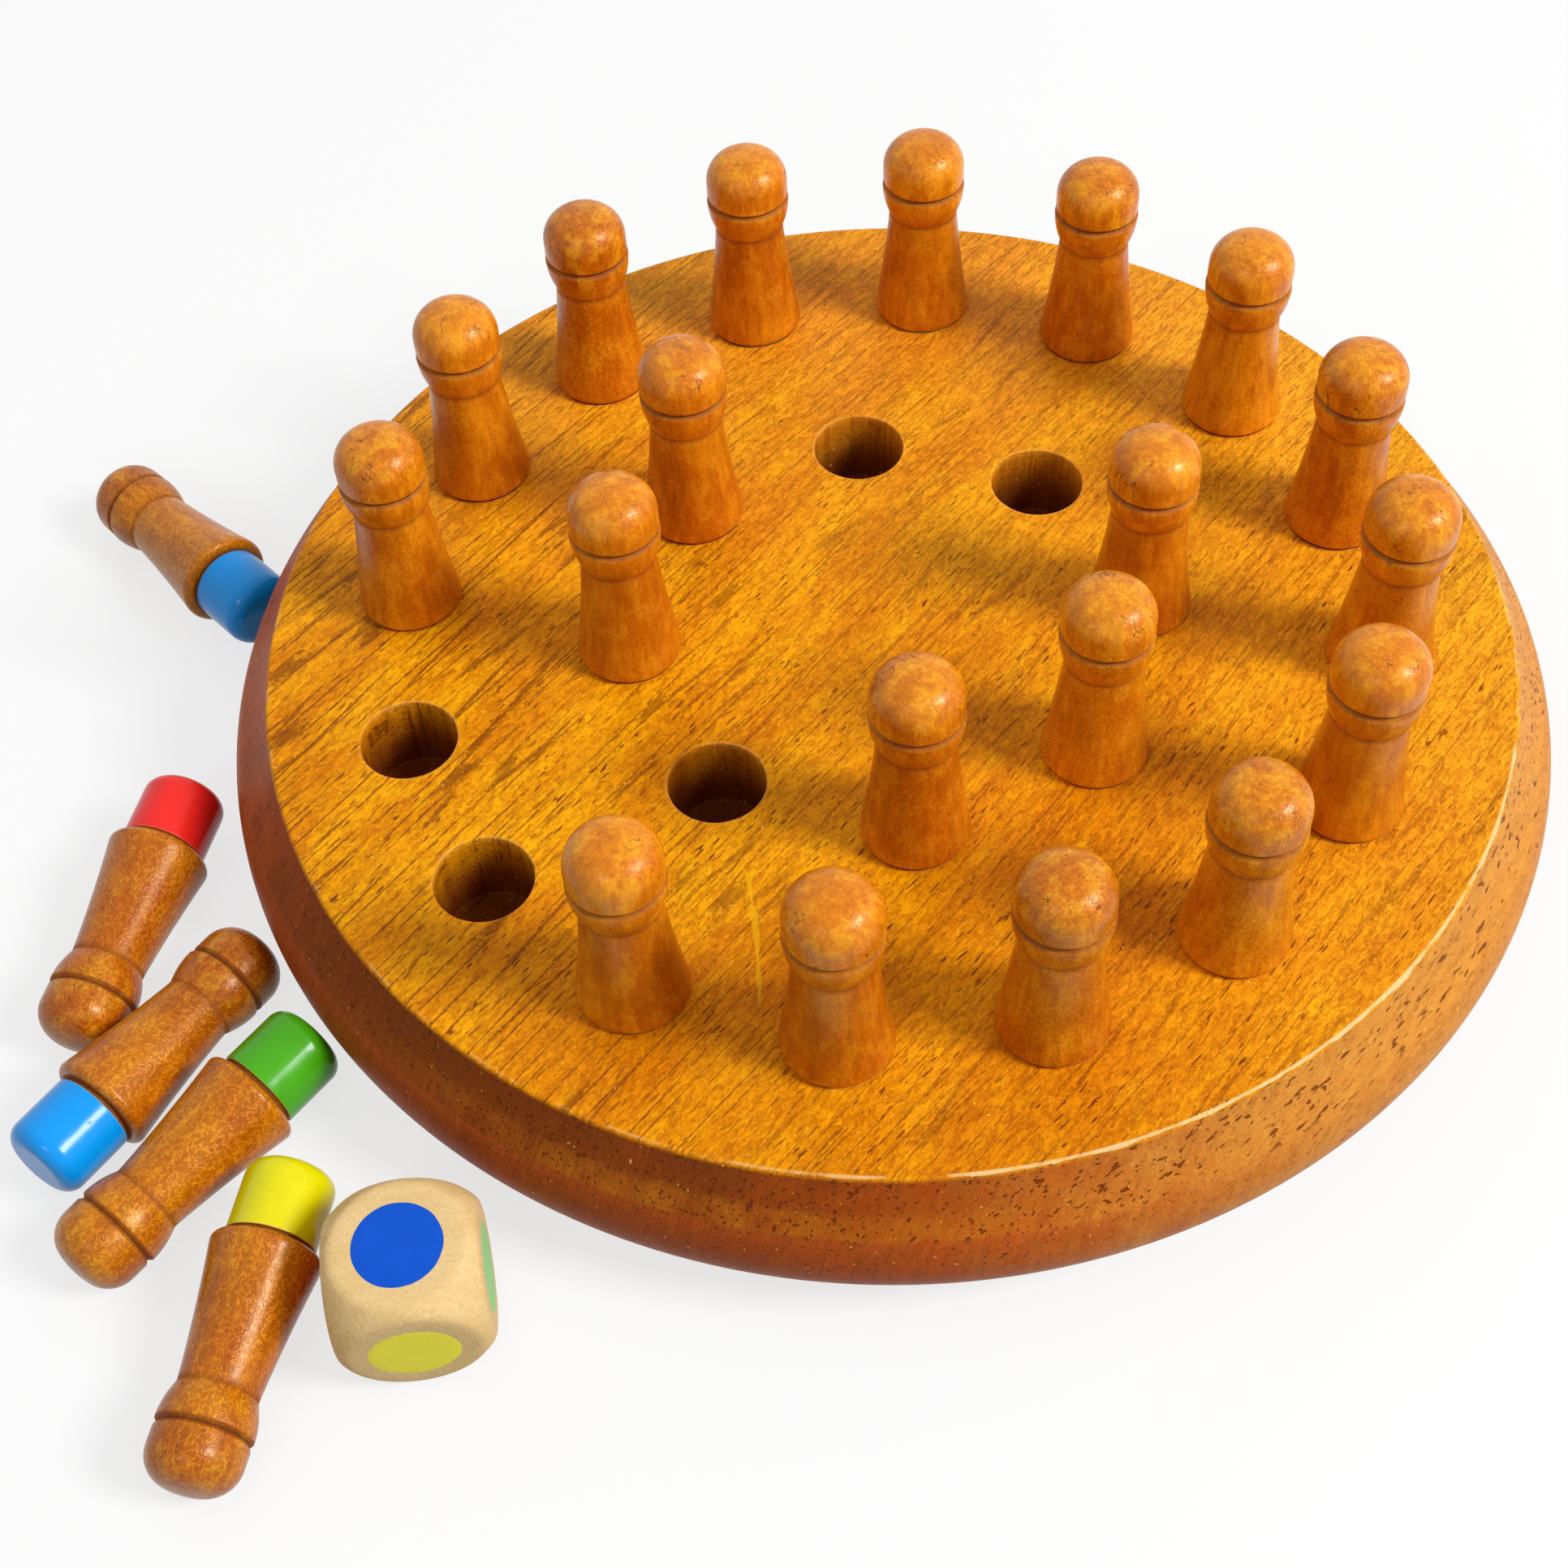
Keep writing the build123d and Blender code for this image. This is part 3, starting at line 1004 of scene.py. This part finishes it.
def peg_wood():
    """Oiled turned wood: brown with golden squiggles, fine cracks on its head, painted shade in its grooves,
    and painted light on seated heads.
    """
    wood = Shader("peg_wood", specular_ior_level=0.46, specular_tint=(1, 0.8, 0.54, 1))
    place = wood.layer("wood_place", "Vector")
    hollow = wood.layer("hollow")
    fair = wood.layer("fair")
    figure = wood.layer("figure")
    rise = wood.layer("rise")

    # Some pegs are fairer than others and heads have livelier clouds; seated heads are painted paler and the
    # rest darker, as painted light from above
    tone = wood.noise(place, (120, 120, 80), 2) + (fair - 0.5) * 0.3
    clouds = wood.noise(place, (380, 380, 260), 3, 0.55)
    head = wood.fade(rise, 0.55, 0.82)
    lit_head = head * wood.fade(figure, 0.8, 0.2)
    colour = wood.mix(wood.fade(tone, 0.34, 0.66), peg_brown, peg_amber)
    colour = wood.mix(wood.fade(clouds, 0.5, 0.6) * (0.3 + head * 0.36), colour, peg_gold)
    colour = wood.mix(wood.fade(clouds, 0.5, 0.38) * (0.25 + head * 0.25), colour, peg_shade)
    colour = wood.mix(wood.fade(figure, 0.5, 1) * 0.22, colour, figure_brown)
    # Painted light and shade: seated heads paler, bodies and loose pegs darker
    colour = wood.mix(0.2 - lit_head * 0.2, colour, shaded_body_brown)
    colour = wood.mix(lit_head * 0.4, colour, lit_head_amber)

    # Golden squiggles are where a fine noise is near its middle, over speckle and upright streaks
    speckle = wood.noise(place, (2500, 2500, 1900), 2, 0.55)
    squiggle = wood.fade(abs(wood.noise(place, (1250, 1250, 900), 2, 0.6) - 0.5), 0.05, 0)
    streaks = wood.noise(place, (1100, 1100, 110), 3, 0.6)
    mottle = (speckle - 0.5) * 0.55 + (streaks - 0.5) * 0.8 + squiggle * figure * 0.55
    mottle = mottle - figure * 0.15 + 0.5
    colour = wood.toned(colour, mottle, speckle_shadow, speckle_light)

    crack = wood.fade(abs(wood.noise(place, (620, 620, 300), 2) - 0.5), 0.022, 0.004)
    crack = crack * wood.fade(wood.noise(place, (240, 240, 240), 1), 0.6, 0.66) * wood.fade(rise, 0.6, 0.8)
    colour = wood.mix(crack * 0.7, colour, crack_brown)
    # Painted shade: darker in hollows, in the cut groove and in the neck crease
    colour = wood.mix(wood.fade(hollow, 0.03, 0.35) * 0.5, colour, hollow_shade_brown)
    colour = wood.mix(wood.fade(hollow, 0.35, 0.9) * 0.8, colour, groove_shade_brown)
    relief = speckle * 0.4 + streaks * 0.3 + squiggle * 0.25 - crack * 0.4
    roughness = 0.27 + (speckle - 0.5) * 0.15 + wood.fade(hollow, 0, 0.3) * 0.4
    return wood.finish(colour, roughness, relief, 0.05 * mm)


def die_wood():
    """Bare pale wood: faint upright grain with a fine nap."""
    wood = Shader("die_wood", specular_ior_level=0.25)
    place = wood.layer("wood_place", "Vector")
    rings = wood.noise(place, (170, 700, 60), 3)
    nap = wood.noise(place, (2400, 2400, 1300), 4, 0.7)
    colour = wood.mix(wood.fade(rings, 0.36, 0.64), bare_wood, bare_pale)
    colour = wood.shaded(colour, 1 + (nap - 0.5) * 0.55)
    fibres = wood.fade(wood.noise(place, (3000, 3000, 420), 1), 0.64, 0.74)
    colour = wood.mix(fibres * 0.3, colour, bare_fibre)
    return wood.finish(colour, 0.6 + (nap - 0.5) * 0.3, nap, 0.09 * mm)


def enamel(colour, seen, pale):
    """Glossy paint, slightly uneven, thinner and paler at the lip where the peg left the pot."""
    paint = Shader(colour + "_enamel", specular_ior_level=0.25, coat_weight=0.06, coat_roughness=0.05)
    place = paint.layer("paint_place", "Vector")
    peel = paint.noise(place, (420, 420, 420), 2)
    dust = paint.fade(paint.noise(place, (1800, 1800, 1800), 1), 0.68, 0.74)
    lip = paint.fade(paint.layer("up"), 0.925, 0.945)
    base = paint.mix(lip * 0.6, linear(*seen), linear(*pale))
    base = paint.shaded(base, 0.92 + peel * 0.16)
    return paint.finish(base, 0.16 + dust * 0.15 + peel * 0.1, peel * 0.6 + dust * 0.1, 0.05 * mm)


def dot_paint(colour, seen):
    """Flat printed paint on the die, through which the nap of the wood shows."""
    paint = Shader(colour + "_dot", specular_ior_level=0.2)
    place = paint.layer("paint_place", "Vector")
    nap = paint.noise(place, (2400, 2400, 2400), 3, 0.6)
    thin = paint.noise(place, (300, 300, 300), 2)
    base = paint.shaded(linear(*seen), 1.03 + (nap - 0.5) * 0.25 + (thin - 0.5) * 0.2)
    return paint.finish(base, 0.5 + (nap - 0.5) * 0.2, nap, 0.05 * mm)


# Room


def make_floor():
    """A pale floor that keeps a light shadow.

    A camera, gloss or glass ray sees it glow nearly white, and whiter far out, where the light falls off.
    """
    angle = np.linspace(0, 2 * math.pi, floor_columns, endpoint=False)
    radius = np.array(floor_rings)[::-1, None]
    grid = np.stack((radius * np.cos(angle), radius * np.sin(angle), 0 * radius + 0 * angle), axis=-1)
    paper = Shader("floor_paper", specular_ior_level=0.05)
    cloud = paper.noise(paper.object_place(), (3, 3, 3), 2)
    paper.finish(paper.mix(cloud, paper_grey, paper_pale), 0.9)
    x, y, _ = paper.separated(paper.object_place())
    brightness = floor_glow + paper.fade((x * x + y * y) ** 0.5, glow_starts, glow_full) * glow_rise
    strength = paper.seen_directly() * brightness
    glow = paper.node("ShaderNodeEmission", {}, {"Color": white, "Strength": strength})
    both = paper.node("ShaderNodeAddShader", {}, {0: Signal(paper, paper.surface.outputs[0]), 1: glow})
    paper.feed(paper.output.inputs["Surface"], both)
    quads = ring_quads(len(floor_rings), floor_columns)
    floor = make_piece("floor", grid.reshape(-1, 3), quads, paper.material)


def make_world():
    """Soft light from all sides, weaker from the front, which the camera, gloss and glass see as white."""
    world = bpy.data.worlds.new("studio")
    bpy.context.scene.world = world
    world.use_nodes = True
    sky = Tree(world.node_tree, "ShaderNodeOutputWorld")
    _, away, _ = sky.separated(sky.node("ShaderNodeTexCoord", output="Generated"))
    ambient = world_strength + away * (world_strength * world_slope)
    strength = ambient + sky.seen_directly() * (1 - ambient)
    background = sky.node("ShaderNodeBackground", {}, {"Color": white, "Strength": strength})
    sky.feed(sky.output.inputs["Surface"], background)


def make_lamp(name, azimuth, elevation, distance, size, power):
    """A square soft box aimed at the middle of the board."""
    lamp = bpy.data.lights.new(name, "AREA")
    lamp.size = size
    lamp.energy = power
    flat = math.cos(math.radians(elevation))
    way = Vector(
        (
            flat * math.cos(math.radians(azimuth)),
            flat * math.sin(math.radians(azimuth)),
            math.sin(math.radians(elevation)),
        )
    )
    holder = bpy.data.objects.new(name, lamp)
    holder.location = way * distance + Vector((0, 0, board_top))
    holder.rotation_euler = way.to_track_quat("Z", "Y").to_euler()
    bpy.context.collection.objects.link(holder)


def make_camera():
    """The photograph's camera: its place, what it looks at, its roll and its lens."""
    view = (camera_target - camera_place).normalized()
    right = view.cross(Vector((0, 0, 1))).normalized()
    up = right.cross(view)
    turn = Matrix((right, up, -view)).transposed() @ Matrix.Rotation(math.radians(camera_roll), 3, "Z")
    lens = bpy.data.cameras.new("camera")
    lens.sensor_width = sensor_width
    lens.lens = focal_length_pixels / image_pixels * sensor_width
    lens.clip_start = nearest_seen
    holder = bpy.data.objects.new("camera", lens)
    holder.matrix_world = Matrix.Translation(camera_place) @ turn.to_4x4()
    bpy.context.collection.objects.link(holder)
    bpy.context.scene.camera = holder


board_points, board_quads, board_mouths = board_surface()
board_finish = board_wood(board_radius - bevel_width)
board = make_piece("board_wood", board_points, board_quads, board_finish, {"mouth": board_mouths})
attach(board, "board")
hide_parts("board")

paint = {colour: enamel(colour, *tints) for colour, tints in enamel_tints.items()}
peg_finish = peg_wood()
seated = [node for node in sorted(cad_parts) if node.startswith(("outer_peg", "inner_peg"))]
for number, node in enumerate(seated):
    make_peg(node, None, seated_colours[number % len(seated_colours)], number, peg_finish, paint)
for number, (node, heading) in enumerate(loose_headings.items(), start=len(seated)):
    make_peg(node, heading, node.split("_")[-2], number, peg_finish, paint)
make_die(die_wood())

make_floor()
make_world()
make_lamp("key", key_azimuth, key_elevation, lamp_distance, key_size, key_power)
make_lamp("fill", fill_azimuth, fill_elevation, lamp_distance, fill_size, fill_power)
make_camera()
bpy.context.scene.view_settings.view_transform = "Standard"
